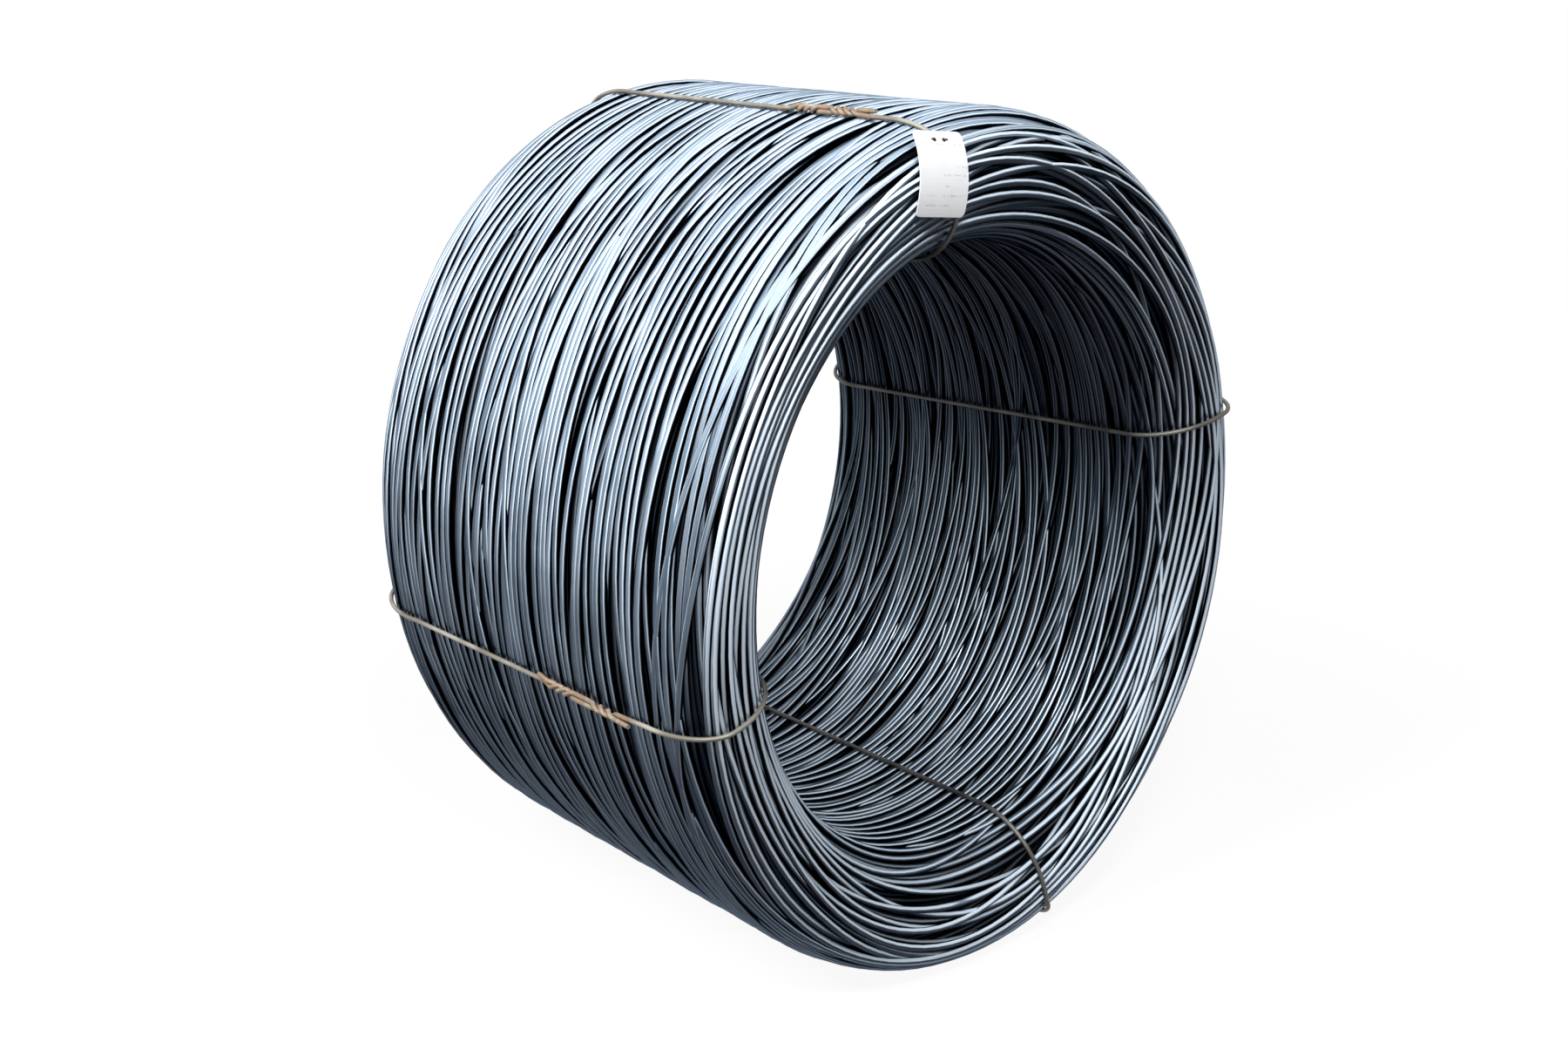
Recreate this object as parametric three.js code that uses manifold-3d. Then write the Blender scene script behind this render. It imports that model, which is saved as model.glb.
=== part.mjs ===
// A coil of steel wire rod, lying on its side: one long rod wound round and round into a thick
// ring, pressed together and held by four tie wires. A tag hangs on the top tie wire by a small
// clip. Millimetres, +Z up. The winding axis is Y, the front end faces -Y, and the origin is on
// the floor under the middle of the coil.
import * as THREE from 'three';
import { mergeVertices } from 'three/addons/utils/BufferGeometryUtils.js';
import Module from 'manifold-3d';

// ---------------------------------------------------------------- driving dimensions

// The wound coil
const outerRadius = 600; // mean radius over the outermost turns
const wallThickness = 178; // from the outermost turns in to the bore
const coilLength = 870; // along the winding axis
const ovality = 0.08; // share by which the coil stands taller, and is narrower, than round
const ovalLean = THREE.MathUtils.degToRad(5); // the oval's long axis leans towards +X
const contactSink = 11; // the lowest turns are pressed flat by this much where the coil lies
const shoulderDepth = 115; // how far the rounding of each end reaches along the axis
const crownInset = 58; // from the outside of the coil in to the crown of each rounded end
const rodDiameter = 11;
const turnGap = 0.8; // between one turn and the next
const grooveDepth = 5; // of the groove between two turns
const bandTurns = 8; // turns side by side in each band along the outside and the bore
const bandDepth = 9; // of the groove between two bands, where turns have dropped in
const ringSteps = 36; // facets round the coil

// The tie wires
const tieDiameter = 7;
const tieSides = 6;
const cornerSteps = 7; // straight steps round each quarter of a bend
const strandGap = 0.4; // between the two strands of a splice
const splicePitch = 40; // length of one full twist of a splice
const stepsPerTwist = 6;
const spliceRise = 40; // length over which the wire climbs from the coil to its splice
// Each tie: its angles round the coil from the top towards +X, outside and in the bore, each at
// the front and at the back, how far behind the front end its splice begins, and the splice's
// length. The bottom one swerves outside, to where there is room for its splice above the floor.
const ties = [
  {
    name: 'tie_wire_top',
    outside: [-12.6, -12.2],
    bore: [-12.6, -12.2],
    spliceStart: 140,
    spliceLength: 215,
  },
  {
    name: 'tie_wire_right',
    outside: [76, 78],
    bore: [75.6, 79.6],
    spliceStart: 300,
    spliceLength: 240,
  },
  {
    name: 'tie_wire_bottom',
    outside: [161.8, 161.8],
    bore: [165.4, 165.4],
    spliceStart: 300,
    spliceLength: 240,
  },
  {
    name: 'tie_wire_left',
    outside: [258, 256.8],
    bore: [258, 256.8],
    spliceStart: 132,
    spliceLength: 275,
  },
];

// The tag
const tagWidth = 82;
const tagLength = 118;
const tagThickness = 1.2;
const tagBend = 120; // radius that the tag is bent to
const tagCorner = 7;
const tagContact = THREE.MathUtils.degToRad(80); // where it touches the tie, round the shoulder
const tagLean = THREE.MathUtils.degToRad(16); // its lower end swings this far off the tie
const tagAside = -17; // middle of its holes from the middle of the tie wire
const tagHang = 34; // from where it touches the tie up to its holes
const tagSteps = 10;
const tagCornerSteps = 4;
const holeSpacing = 16;
const holeDiameter = 5;
const holeSides = 12;
const holeInset = 13; // from the top edge of the tag to its holes
const punchReach = 5; // how far the cutters of the holes stand out of the tag

// The clip that ties the tag to the top tie wire
const clipDiameter = 2;
const clipGroove = 7; // the clip runs in this groove of the front end, counted from outside
const clipBend = 2.4; // radius of the clip's bends
const clipBendSteps = 3;
const clipTip = 3; // length of each bent tip
const clearance = 0.3; // between pieces that touch

// ---------------------------------------------------------------- values that follow

const boreRadius = outerRadius - wallThickness;
const innerRound = wallThickness - crownInset;
const straight = coilLength - 2 * shoulderDepth;
const turnPitch = rodDiameter + turnGap;
const narrow = 1 - ovality;
const tall = 1 + ovality;
const ovalReach = outerRadius * Math.hypot(narrow * Math.sin(ovalLean), tall * Math.cos(ovalLean));
const axisHeight = ovalReach - contactSink;
const tieLift = tieDiameter / 2 + clearance;
const bendGrowth = 1 / Math.cos(Math.PI / 4 / cornerSteps); // keeps straight steps clear of a bend

const weldDistance = 1e-3; // corners nearer than this are one corner
const AXIS = new THREE.Vector3(0, 1, 0);
const UP = new THREE.Vector3(0, 0, 1);

// ---------------------------------------------------------------- the wound coil

// The rounded outline of one end in the half plane of radius and axis, from the outside of the
// coil over the crown to the bore
function endOutline() {
  const crown = outerRadius - crownInset;
  const outline = new THREE.CurvePath();
  outline.add(new THREE.EllipseCurve(crown, 0, crownInset, shoulderDepth, 0, Math.PI / 2));
  outline.add(new THREE.EllipseCurve(crown, 0, innerRound, shoulderDepth, Math.PI / 2, Math.PI));
  return outline;
}

// A point at a share of the way over the end, with the direction that faces out of the coil
function outlinePoint(outline, share) {
  const point = outline.getPoint(share);
  const tangent = outline.getTangent(share);
  return { point, normal: new THREE.Vector2(tangent.y, -tangent.x) };
}

const end = endOutline();
const endTurns = Math.round(end.getLength() / turnPitch);

// Crests and grooves of the turns over one end; even stations are crests, odd ones grooves
function endStations() {
  return Array.from({ length: 2 * endTurns + 1 }, (_, i) => {
    const { point, normal } = outlinePoint(end, i / (2 * endTurns));
    return i % 2 ? point.addScaledVector(normal, -grooveDepth) : point;
  });
}

// Edges and bottoms of the grooves between bands along a straight run of the wall, from the
// back to the front. The number of bands is odd, so that the coil lies on the middle one.
function bandStations(radius, depth) {
  const bands = 2 * Math.round((straight / (bandTurns * turnPitch) - 1) / 2) + 1;
  return Array.from({ length: bands - 1 }, (_, i) => {
    const middle = straight * (0.5 - (i + 1) / bands);
    return [
      new THREE.Vector2(radius, middle + turnPitch),
      new THREE.Vector2(radius + depth, middle),
      new THREE.Vector2(radius, middle - turnPitch),
    ];
  }).flat();
}

// A round form about the axis becomes the oval that leans
function toOval(geometry) {
  return geometry.scale(narrow, 1, tall).rotateY(ovalLean);
}

function pressFlat(geometry) {
  const position = geometry.getAttribute('position');
  for (let i = 0; i < position.count; i++) {
    position.setZ(i, Math.max(position.getZ(i), -axisHeight));
  }
  return geometry;
}

function woundCoil() {
  const back = endStations().map((p) => new THREE.Vector2(p.x, p.y + straight / 2));
  const front = back.map((p) => new THREE.Vector2(p.x, -p.y)).reverse();
  const bore = bandStations(boreRadius, bandDepth);
  const outside = bandStations(outerRadius, -bandDepth).reverse();
  const profile = [...back, ...bore, ...front, ...outside, back[0].clone()];
  const turned = new THREE.LatheGeometry(profile, ringSteps);
  return pressFlat(toOval(turned)).translate(0, 0, axisHeight);
}

// ---------------------------------------------------------------- where wires cross the coil

// Radius of the faceted ring over that of the true one, at an angle round the coil
function facetShare(angle) {
  const facet = (2 * Math.PI) / ringSteps;
  const past = THREE.MathUtils.euclideanModulo(angle, facet) - facet / 2;
  return Math.cos(facet / 2) / Math.cos(past);
}

// The cut through the coil's wall at an angle from the top: a plane with its own directions,
// in which the outside, the bore and the rounded ends have the sizes of the oval there
function sectionAt(degrees) {
  const angle = THREE.MathUtils.degToRad(degrees) - ovalLean;
  const reach = new THREE.Vector3(narrow * Math.sin(angle), 0, tall * Math.cos(angle));
  const stretch = reach.length();
  const out = reach.normalize().applyAxisAngle(AXIS, ovalLean);
  const side = new THREE.Vector3().crossVectors(AXIS, out);
  const halfWidth = tieDiameter / 2 / outerRadius;
  const shares = [-halfWidth, 0, halfWidth].map((turn) => facetShare(angle + turn));
  const normal = new THREE.Vector2(Math.sin(angle) / narrow, Math.cos(angle) / tall);
  const slope = normal.cross(new THREE.Vector2(narrow * Math.sin(angle), tall * Math.cos(angle)));
  const place = (radius, along, aside = 0) =>
    new THREE.Vector3()
      .addScaledVector(out, radius)
      .addScaledVector(AXIS, along)
      .addScaledVector(side, aside)
      .addScaledVector(UP, axisHeight);
  return {
    out,
    side,
    place,
    sideSlope: Math.abs(slope),
    outside: outerRadius * stretch * Math.max(...shares),
    bore: boreRadius * stretch * Math.min(...shares),
    outerRound: crownInset * stretch,
    innerRound: innerRound * stretch,
  };
}

// ---------------------------------------------------------------- wires

// A curve whose stations are its own points, so that a swept section stands at each of them
class StationCurve extends THREE.CatmullRomCurve3 {
  getUtoTmapping(u) {
    return u;
  }
}

function polygon(radius, sides) {
  const corners = Array.from({ length: sides }, (_, i) => {
    const angle = (2 * Math.PI * i) / sides;
    return new THREE.Vector2(radius * Math.cos(angle), radius * Math.sin(angle));
  });
  return new THREE.Shape(corners);
}

function sweptWire(points, diameter, sides) {
  return new THREE.ExtrudeGeometry(polygon(diameter / 2, sides), {
    steps: points.length - 1,
    extrudePath: new StationCurve(points),
    bevelEnabled: false,
  });
}

// The cut through the coil where a tie runs outside, at a distance from the coil's middle
function sectionAlong({ outside }, along) {
  return sectionAt(THREE.MathUtils.lerp(...outside, along / coilLength + 0.5));
}

// The two strands of a splice. Each comes in straight along the splice's line, and gives way
// until it winds round the other, which has come in from the other end; they stay opposite
// each other all the way, and both tails end on the side away from the coil.
function spliceStrands(tie) {
  const start = tie.spliceStart - coilLength / 2;
  const twists = Math.round(tie.spliceLength / splicePitch) + 0.5;
  const steps = Math.round(twists * stepsPerTwist);
  const apart = (tieDiameter + strandGap) / Math.cos(Math.PI / stepsPerTwist);
  const front = [];
  const back = [];
  for (let i = 0; i <= steps; i++) {
    const share = i / steps;
    const along = start + tie.spliceLength * share;
    const section = sectionAlong(tie, along);
    const line = section.outside + tieLift + apart * (1 + section.sideSlope);
    const turn = 2 * Math.PI * (twists * share - 0.25);
    const swing = apart * THREE.MathUtils.smoothstep(share, 0, 1);
    const rest = apart - swing;
    const [across, up] = [Math.cos(turn), Math.sin(turn)];
    front.push(section.place(line + swing * up, along, swing * across));
    back.push(section.place(line - rest * up, along, -rest * across));
  }
  return { front, back };
}

// Stations of a tie round one end of the coil's wall, from outside over the crown to the bore
function stationsOverEnd({ outside, bore }, end) {
  return Array.from({ length: 2 * cornerSteps + 1 }, (_, i) => {
    const share = i / cornerSteps;
    const section = sectionAt(THREE.MathUtils.lerp(outside[end], bore[end], Math.min(share, 1)));
    const turn = (Math.PI / 2) * share;
    const crown = section.outside - section.outerRound;
    const round = i < cornerSteps ? section.outerRound : crown - section.bore;
    const radius = crown + bendGrowth * (round + tieLift) * Math.cos(turn);
    const along = straight / 2 + bendGrowth * (shoulderDepth + tieLift) * Math.sin(turn);
    return section.place(radius, end ? along : -along);
  });
}

// One tie wire: from the tail at the front of its splice along the splice, round the wall of
// the coil, and along the splice again to the tail at its back
function tieWire(tie) {
  const start = tie.spliceStart - coilLength / 2;
  const strands = spliceStrands(tie);
  const onCoil = (along) => {
    const section = sectionAlong(tie, along);
    return section.place(section.outside + tieLift, along);
  };
  const points = [
    ...strands.back,
    onCoil(start + tie.spliceLength + spliceRise),
    ...stationsOverEnd(tie, 1),
    ...stationsOverEnd(tie, 0).reverse(),
    onCoil(start - spliceRise),
    ...strands.front,
  ];
  return sweptWire(points, tieDiameter, tieSides);
}

// ---------------------------------------------------------------- the tag and its clip

const tagTie = sectionAt(ties[0].outside[0]);

// The frame of the tag's bend: the tag is part of a cylinder that touches the top tie wire on
// the front shoulder. Its directions are the tag's own: down its length, out of its face, and
// across it.
function tagFrame() {
  const outwards = tagTie.outerRound + tieLift;
  const along = shoulderDepth + tieLift;
  const radius = tagTie.outside - tagTie.outerRound + outwards * Math.cos(tagContact);
  const depth = straight / 2 + along * Math.sin(tagContact);
  const facing = new THREE.Vector3()
    .addScaledVector(tagTie.out, Math.cos(tagContact) / outwards)
    .addScaledVector(AXIS, -Math.sin(tagContact) / along)
    .normalize();
  const lift = tieDiameter / 2 + clearance + (bendGrowth - 1) * along;
  const centre = tagTie.place(radius, -depth).addScaledVector(facing, lift - tagBend);
  const across = tagTie.side.clone().applyAxisAngle(facing, -tagLean);
  const length = new THREE.Vector3().crossVectors(across, facing);
  return { centre, facing, across, length };
}

// The place where the clip crosses under the tie wire, in a groove of the front end, with the
// way out of the groove
function clipSeat() {
  const { point, normal } = outlinePoint(end, (2 * clipGroove - 1) / (2 * endTurns));
  const stretch = tagTie.outerRound / crownInset;
  const radius = tagTie.outside - (outerRadius - point.x) * stretch;
  const foot = tagTie.place(radius, -(straight / 2 + point.y));
  const away = new THREE.Vector3()
    .addScaledVector(tagTie.out, normal.x / stretch)
    .addScaledVector(AXIS, -normal.y)
    .normalize();
  return (out, aside) =>
    foot.clone().addScaledVector(away, out).addScaledVector(tagTie.side, aside);
}

const wasm = await Module();
wasm.setup();

function toSolid(geometry) {
  const plain = geometry.clone().deleteAttribute('normal').deleteAttribute('uv');
  const merged = mergeVertices(plain, weldDistance);
  return new wasm.Manifold(
    new wasm.Mesh({
      numProp: 3,
      vertProperties: merged.attributes.position.array,
      triVerts: new Uint32Array(merged.index.array),
    }),
  );
}

function toGeometry(solid) {
  const mesh = solid.getMesh();
  const geometry = new THREE.BufferGeometry();
  geometry.setAttribute('position', new THREE.BufferAttribute(mesh.vertProperties, 3));
  geometry.setIndex(new THREE.BufferAttribute(mesh.triVerts, 1));
  return geometry.toNonIndexed();
}

function roundedRectangle(left, right, halfWidth, corner) {
  const shape = new THREE.Shape();
  const quarter = Math.PI / 2;
  shape.absarc(right - corner, halfWidth - corner, corner, 0, quarter);
  shape.absarc(left + corner, halfWidth - corner, corner, quarter, 2 * quarter);
  shape.absarc(left + corner, corner - halfWidth, corner, 2 * quarter, 3 * quarter);
  shape.absarc(right - corner, corner - halfWidth, corner, 3 * quarter, 4 * quarter);
  return shape;
}

// The tag in its own frame: X down its length, Y out of its face, Z across it, with the axis
// of the bend and the middle of its holes at Z = 0
function bentTag(holeAngle) {
  const top = holeAngle + holeInset / tagBend;
  const bottom = top - tagLength / tagBend;
  const strip = new THREE.Shape();
  strip.absarc(0, 0, tagBend + tagThickness, bottom, top);
  strip.absarc(0, 0, tagBend, top, bottom, true);
  const curved = new THREE.ExtrudeGeometry(strip, {
    depth: tagWidth,
    curveSegments: tagSteps,
    bevelEnabled: false,
  }).translate(0, 0, -tagWidth / 2);
  const high = (tagBend + tagThickness) * Math.cos(top);
  const low = tagBend * Math.cos(bottom);
  const outline = new THREE.ExtrudeGeometry(roundedRectangle(high, low, tagWidth / 2, tagCorner), {
    depth: tagBend + 2 * tagThickness,
    curveSegments: tagCornerSteps,
    bevelEnabled: false,
  }).rotateX(-Math.PI / 2);
  const middle = tagBend + tagThickness / 2;
  const length = tagThickness + 2 * punchReach;
  const punch = (aside) =>
    new THREE.CylinderGeometry(holeDiameter / 2, holeDiameter / 2, length, holeSides)
      .translate(0, middle, 0)
      .rotateZ(holeAngle - Math.PI / 2)
      .translate(0, 0, aside);
  return toSolid(curved)
    .intersect(toSolid(outline))
    .subtract(toSolid(punch(-holeSpacing / 2)))
    .subtract(toSolid(punch(holeSpacing / 2)));
}

// Stations along straight runs whose corners are rounded to a radius
function filleted(corners, radius, steps) {
  const stations = [corners[0]];
  for (let i = 1; i < corners.length - 1; i++) {
    const before = corners[i - 1].clone().sub(corners[i]).normalize();
    const after = corners[i + 1].clone().sub(corners[i]).normalize();
    const half = before.angleTo(after) / 2;
    const inwards = before.clone().add(after).normalize();
    const centre = corners[i].clone().addScaledVector(inwards, radius / Math.sin(half));
    const tangentLength = radius / Math.tan(half);
    const first = corners[i].clone().addScaledVector(before, tangentLength).sub(centre);
    const hinge = new THREE.Vector3().crossVectors(after, before).normalize();
    for (let k = 0; k <= steps; k++) {
      const turn = ((Math.PI - 2 * half) * k) / steps;
      stations.push(first.clone().applyAxisAngle(hinge, turn).add(centre));
    }
  }
  return [...stations, corners[corners.length - 1]];
}

// The clip: one wire that comes out of a hole of the tag, runs under the tie wire, back over it
// and out through the other hole, with both tips bent over the tag's face
function clipWire(seat, holeAt, normal, across) {
  const reach = tagThickness / 2 + clearance + clipDiameter / 2;
  const beside = tieDiameter / 2 + clearance + clipDiameter / 2;
  const under = -clipDiameter / 2;
  const over = 2 * tieLift + (bendGrowth - 1) * shoulderDepth + clipDiameter / 2;
  const tip = clipBend + clipTip;
  const leg = (aside, out) => holeAt(aside).addScaledVector(normal, out);
  const half = holeSpacing / 2;
  const corners = [
    leg(-half, reach).addScaledVector(across, -tip),
    leg(-half, reach),
    leg(-half, -reach),
    seat(under, -beside),
    seat(under, beside),
    seat(over, beside),
    seat(over, -beside),
    leg(half, -reach),
    leg(half, reach),
    leg(half, reach).addScaledVector(across, tip),
  ];
  return sweptWire(filleted(corners, clipBend, clipBendSteps), clipDiameter, tieSides);
}

function tagAndClip() {
  const { centre, facing, across, length } = tagFrame();
  const holeAngle = Math.PI / 2 + tagHang / tagBend;
  const normal = new THREE.Vector3()
    .addScaledVector(facing, Math.sin(holeAngle))
    .addScaledVector(length, Math.cos(holeAngle));
  const shift = tagAside / Math.cos(tagLean) - tagHang * Math.tan(tagLean);
  const middle = centre.clone().addScaledVector(across, shift);
  const placed = new THREE.Matrix4()
    .makeBasis(length, facing, across.clone().negate())
    .setPosition(middle);
  const tag = toGeometry(bentTag(holeAngle)).applyMatrix4(placed);
  const holeAt = (aside) =>
    middle
      .clone()
      .addScaledVector(normal, tagBend + tagThickness / 2)
      .addScaledVector(across, aside);
  return { tag, clip: clipWire(clipSeat(), holeAt, normal, across) };
}

// ---------------------------------------------------------------- the assembly

const millScale = new THREE.MeshStandardMaterial({ color: 0x5c6874, roughness: 0.45, metalness: 0.8 });
const annealedWire = new THREE.MeshStandardMaterial({
  color: 0x8c8069,
  roughness: 0.6,
  metalness: 0.5,
});
const whiteTag = new THREE.MeshStandardMaterial({ color: 0xf2f2f4, roughness: 0.5, metalness: 0 });
const blackWire = new THREE.MeshStandardMaterial({ color: 0x24211f, roughness: 0.6, metalness: 0.6 });

const coil = new THREE.Group();

function addPiece(name, geometry, material) {
  const piece = new THREE.Mesh(geometry, material.clone());
  piece.name = name;
  coil.add(piece);
}

const { tag, clip } = tagAndClip();
addPiece('rod_coil', woundCoil(), millScale);
for (const tie of ties) {
  addPiece(tie.name, tieWire(tie), annealedWire);
}
addPiece('tag', tag, whiteTag);
addPiece('tag_clip', clip, blackWire);

export default coil;
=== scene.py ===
"""A coil of hot-rolled steel wire rod, lying on its side on a plain floor, with its four tie
wires and its tag. Metres, +Z up; the winding axis is Y and the front end faces -Y."""
import math

import bpy
import numpy as np
from mathutils import Matrix, Vector


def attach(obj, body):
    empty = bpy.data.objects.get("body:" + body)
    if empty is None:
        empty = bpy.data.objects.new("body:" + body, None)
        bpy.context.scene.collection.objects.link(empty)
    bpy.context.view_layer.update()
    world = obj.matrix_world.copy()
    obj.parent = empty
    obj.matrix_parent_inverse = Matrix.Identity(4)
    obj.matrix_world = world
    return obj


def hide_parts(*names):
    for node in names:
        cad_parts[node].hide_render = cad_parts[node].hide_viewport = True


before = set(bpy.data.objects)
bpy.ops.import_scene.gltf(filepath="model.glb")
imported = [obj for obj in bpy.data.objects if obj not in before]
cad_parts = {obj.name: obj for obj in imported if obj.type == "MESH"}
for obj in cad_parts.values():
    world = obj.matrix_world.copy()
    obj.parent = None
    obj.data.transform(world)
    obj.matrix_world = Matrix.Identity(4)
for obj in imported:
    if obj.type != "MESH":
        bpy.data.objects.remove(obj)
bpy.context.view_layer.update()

# ------------------------------------------------------------------ sizes, as in the solids

OUTER_RADIUS = 0.600  # mean radius over the outermost turns
BORE_RADIUS = 0.422
COIL_LENGTH = 0.870
OVALITY = 0.08
OVAL_LEAN = math.radians(5)
CONTACT_SINK = 0.011
SHOULDER_DEPTH = 0.115
CROWN_INSET = 0.058
ROD_DIAMETER = 0.011
ROD_SHOWN = 0.0105  # of the modelled turns, which leaves a thin gap between neighbours
RING_FACETS = 36  # of the solid coil that the ties lie on

TIE_DIAMETER = 0.007
STRAND_GAP = 0.0002
TIE_CLEARANCE = 0.0003
# Each tie: its angles round the coil in degrees from the top towards +X, at the front and at
# the back, outside and in the bore; where its splice begins behind the front end; how long one
# twist of the splice is; its twists one way and then the other way, with a plain middle between;
# on which side of the splice's axis the front strand comes in, in degrees from aside towards out;
# and how far aside the axis lies from the wire at the front, as it does the other way at the back
TIES = {
    "tie_wire_top": dict(outside=(-12.6, -12.2), bore=(-12.6, -12.2),
                         start=0.157, pitch=0.0275, twists=(1.98, 1.85), middle=0.024,
                         enters=-135, aside=0.004),
    "tie_wire_right": dict(outside=(76.0, 78.0), bore=(75.6, 79.6),
                           start=0.310, pitch=0.033, twists=(1.75, 2.0), middle=0.040,
                           enters=-90, aside=0.0),
    "tie_wire_bottom": dict(outside=(161.8, 161.8), bore=(165.4, 165.4),
                            start=0.310, pitch=0.031, twists=(2.0, 1.75), middle=0.035,
                            enters=-60, aside=0.002),
    "tie_wire_left": dict(outside=(258.0, 256.8), bore=(258.0, 256.8),
                          start=0.152, pitch=0.036, twists=(1.47, 1.6), middle=0.048,
                          enters=-45, aside=-0.003),
}

NARROW, TALL = 1 - OVALITY, 1 + OVALITY
STRAIGHT = COIL_LENGTH - 2 * SHOULDER_DEPTH
CREST_RADIUS = OUTER_RADIUS - CROWN_INSET
INNER_ROUND = CREST_RADIUS - BORE_RADIUS
AXIS_HEIGHT = (
    OUTER_RADIUS * math.hypot(NARROW * math.sin(OVAL_LEAN), TALL * math.cos(OVAL_LEAN))
    - CONTACT_SINK
)
TIE_LIFT = TIE_DIAMETER / 2 + TIE_CLEARANCE
AXIS = np.array([0.0, 1.0, 0.0])
MIDDLE = np.array([0.0, 0.0, AXIS_HEIGHT])

# ------------------------------------------------------------------ camera

CAMERA_AZIMUTH = math.radians(-40.0)
CAMERA_ELEVATION = math.radians(15.64)
CAMERA_DISTANCE = 3.2583
SENSOR_WIDTH = 36.0
IMAGE_WIDTH, IMAGE_HEIGHT = 1800, 1212
FOCAL_PIXELS = 2346.0
CENTRE_X, CENTRE_Y = 924.63, 577.79  # where the middle of the coil stands in the render


def towards(azimuth, elevation):
    """The direction from the coil towards someone who stands at these angles"""
    flat = math.cos(elevation)
    return np.array([
        math.sin(azimuth) * flat, -math.cos(azimuth) * flat, math.sin(elevation),
    ])


def new_object(name, data):
    made = bpy.data.objects.new(name, data)
    bpy.context.scene.collection.objects.link(made)
    return made


def look_from(thing, spot, target):
    """Stands a camera or lamp at a spot and turns it to a target"""
    thing.location = Vector(spot)
    thing.rotation_euler = (Vector(target) - Vector(spot)).to_track_quat("-Z", "Y").to_euler()


def make_camera():
    data = bpy.data.cameras.new("camera")
    camera = new_object("camera", data)
    data.sensor_width = SENSOR_WIDTH
    data.lens = FOCAL_PIXELS / IMAGE_WIDTH * SENSOR_WIDTH
    data.shift_x = (IMAGE_WIDTH / 2 - CENTRE_X) / IMAGE_WIDTH
    data.shift_y = (CENTRE_Y - IMAGE_HEIGHT / 2) / IMAGE_WIDTH
    back = towards(CAMERA_AZIMUTH, CAMERA_ELEVATION)
    look_from(camera, MIDDLE + back * CAMERA_DISTANCE, MIDDLE)
    bpy.context.scene.camera = camera


make_camera()
bpy.context.scene.view_settings.view_transform = "Standard"

# ------------------------------------------------------------------ node trees


def add_nodes(tree, *names):
    return [tree.nodes.new(name) for name in names]


def join(tree, *pairs):
    for source, target in pairs:
        tree.links.new(source, target)


def feed(tree, socket, value):
    """Links a socket to what another node puts out, or gives it a number or a colour"""
    if isinstance(value, bpy.types.NodeSocket):
        tree.links.new(value, socket)
    elif socket.type == "RGBA":
        socket.default_value = (*value, 1)
    else:
        socket.default_value = value


def feed_named(tree, sockets, **values):
    """Feeds sockets by their names, with _ for a space"""
    for label, value in values.items():
        feed(tree, sockets[label.replace("_", " ")], value)


def calc(tree, operation, *values):
    node = tree.nodes.new("ShaderNodeMath")
    node.operation = operation
    for socket, value in zip(node.inputs, values):
        feed(tree, socket, value)
    return node.outputs[0]


def product(tree, value, *others):
    for other in others:
        value = calc(tree, "MULTIPLY", value, other)
    return value


def largest(tree, value, *others):
    for other in others:
        value = calc(tree, "MAXIMUM", value, other)
    return value


def step_between(tree, value, start, whole, to_start=0.0, to_whole=1.0):
    """Goes smoothly from one share to another as a value goes from its start to where it is
    whole, which may be less than the start"""
    node = tree.nodes.new("ShaderNodeMapRange")
    node.interpolation_type = "SMOOTHSTEP"
    feed_named(tree, node.inputs, Value=value, From_Min=start, From_Max=whole, To_Min=to_start,
               To_Max=to_whole)
    return node.outputs["Result"]


# ------------------------------------------------------------------ lamps and floor

# Each lamp: azimuth, elevation, distance, width, watts
LAMPS = {
    "upper_left": (-80, 38, 3.4, 1.1, 97),
    "front": (-34, 41, 3.6, 0.7, 92),
}
SKY_LIGHT = 0.035  # grey that the world lights with
FLOOR_COLOR = 0.11
FLOOR_GLOW = (0.935, 1.0)  # near the coil, where its lamps light the floor, and far off
GLOW_REACH = (0.8, 2.6)
FLOOR_REACH = 60.0


def seen_white(tree):
    """1 for rays that show the background: from the camera, in gloss and through glass"""
    ray = tree.nodes.new("ShaderNodeLightPath").outputs
    return largest(tree, *(ray[f"Is {kind} Ray"] for kind in ("Camera", "Glossy", "Transmission")))


def light_the_scene():
    for name, (azimuth, elevation, distance, width, watts) in LAMPS.items():
        data = bpy.data.lights.new(name, "AREA")
        data.size = width
        data.energy = watts
        spot = MIDDLE + towards(math.radians(azimuth), math.radians(elevation)) * distance
        look_from(new_object(name, data), spot, MIDDLE)
    world = bpy.data.worlds.new("plain_sky")
    bpy.context.scene.world = world
    world.use_nodes = True
    tree = world.node_tree
    tree.nodes.clear()
    output, sky, white, mix = add_nodes(
        tree, "ShaderNodeOutputWorld", "ShaderNodeBackground", "ShaderNodeBackground",
        "ShaderNodeMixShader",
    )
    feed(tree, sky.inputs["Color"], [SKY_LIGHT] * 3)
    feed(tree, white.inputs["Color"], [1] * 3)
    join(tree, (seen_white(tree), mix.inputs[0]), (sky.outputs[0], mix.inputs[1]),
         (white.outputs[0], mix.inputs[2]), (mix.outputs[0], output.inputs[0]))


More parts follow.
